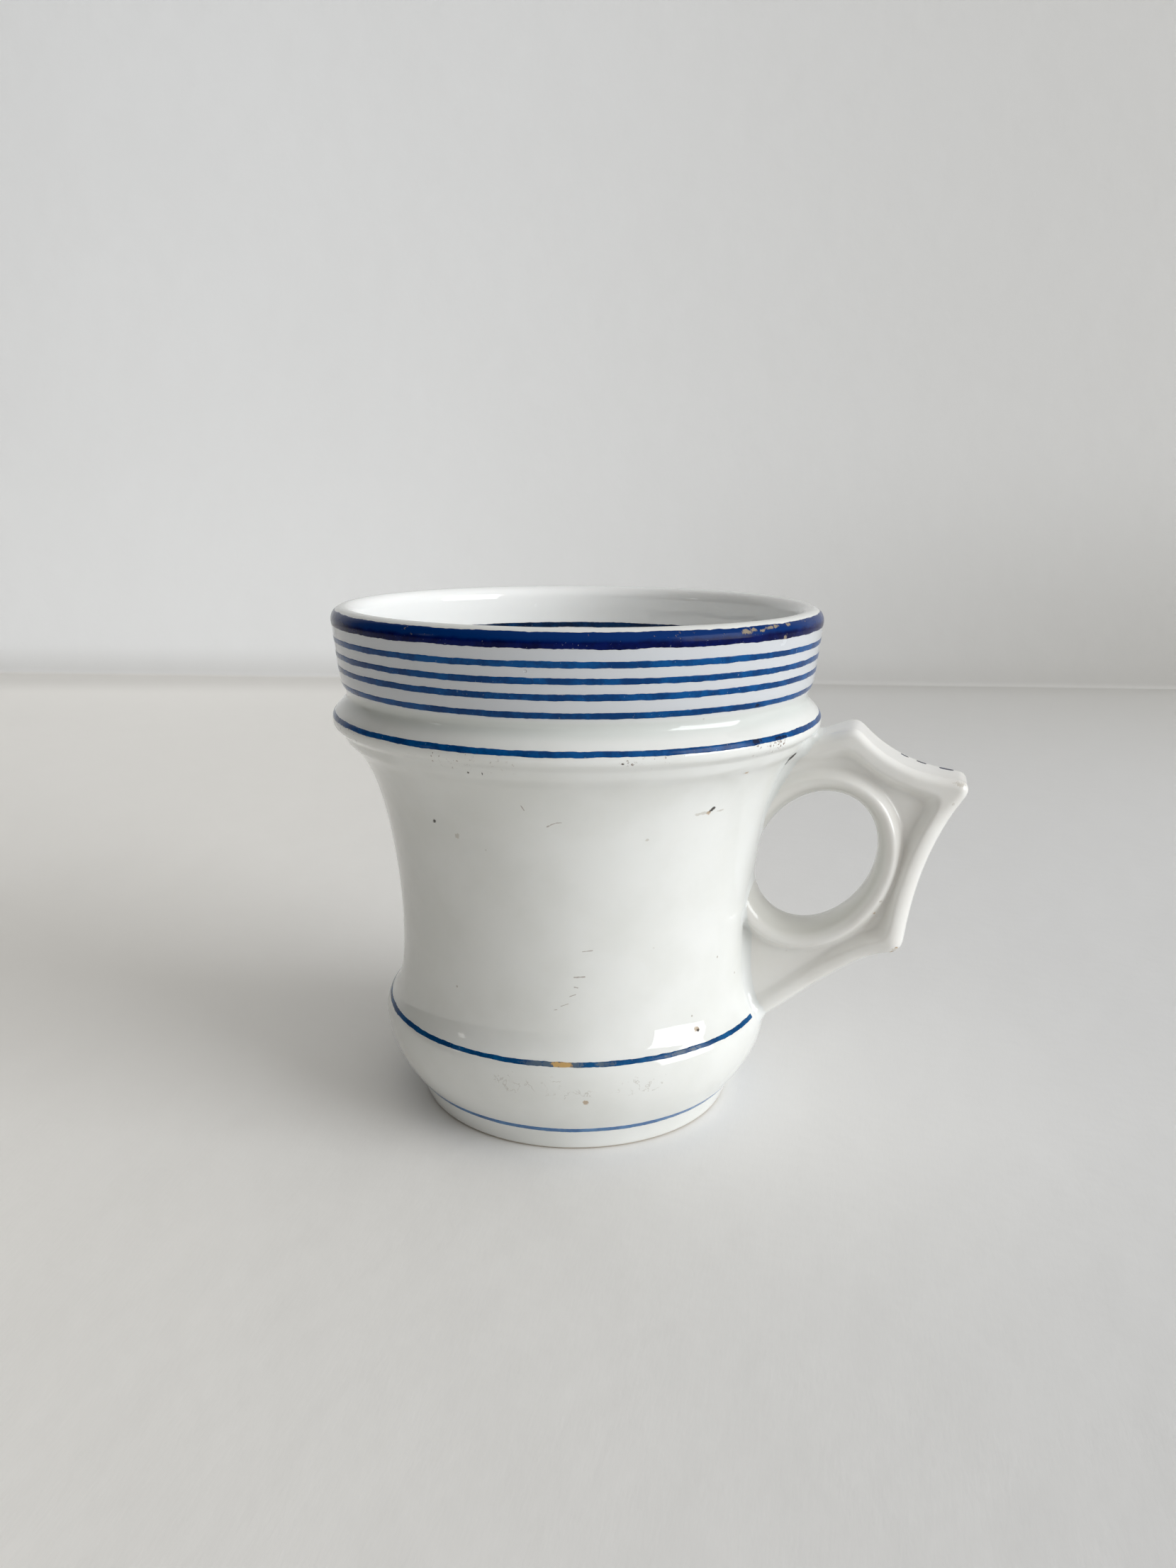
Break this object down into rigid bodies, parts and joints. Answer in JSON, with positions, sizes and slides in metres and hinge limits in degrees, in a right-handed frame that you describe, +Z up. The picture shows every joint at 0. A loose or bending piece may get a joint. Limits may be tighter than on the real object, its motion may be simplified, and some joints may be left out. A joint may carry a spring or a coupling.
{
  "type": "shaving mug",
  "caption": "Waisted porcelain shaving mug with a rounded rim, a moulded bead, a swelling belly on a foot ring, a spurred finger-loop handle and painted cobalt lines.",
  "frame": {"origin": "centre of the foot ring, on the surface the mug stands on", "axes": "+Z up along the mug's axis, +X towards the handle, +Y completes a right-handed frame"},
  "size_m": [0.1168, 0.0906, 0.095],
  "materials": {
    "body_glaze": "glossy cool-white porcelain glaze, a little grey and specked with age",
    "handle_glaze": "glossy porcelain glaze, slightly warmer and greyer than the body",
    "slip_glaze": "glossy glaze pooled over the smoothed slip at the handle's roots",
    "cobalt_line": "hand-painted cobalt blue fired into the glaze, satin gloss, uneven in strength",
    "cobalt_band": "thick cobalt blue, near navy, worn through to the clay in small chips"
  },
  "bodies": {
    "root": {"mug_body": "body_glaze", "handle": "handle_glaze", "upper_slip_joint": "slip_glaze", "lower_slip_joint": "slip_glaze", "rim_band": "cobalt_band", "collar_line_1": "cobalt_line", "collar_line_2": "cobalt_line", "collar_line_3": "cobalt_line", "collar_line_4": "cobalt_line", "bead_line": "cobalt_line", "belly_line": "cobalt_line", "foot_line": "cobalt_line", "inner_line": "cobalt_line", "handle_dashes": "cobalt_band"}
  },
  "joints": []
}
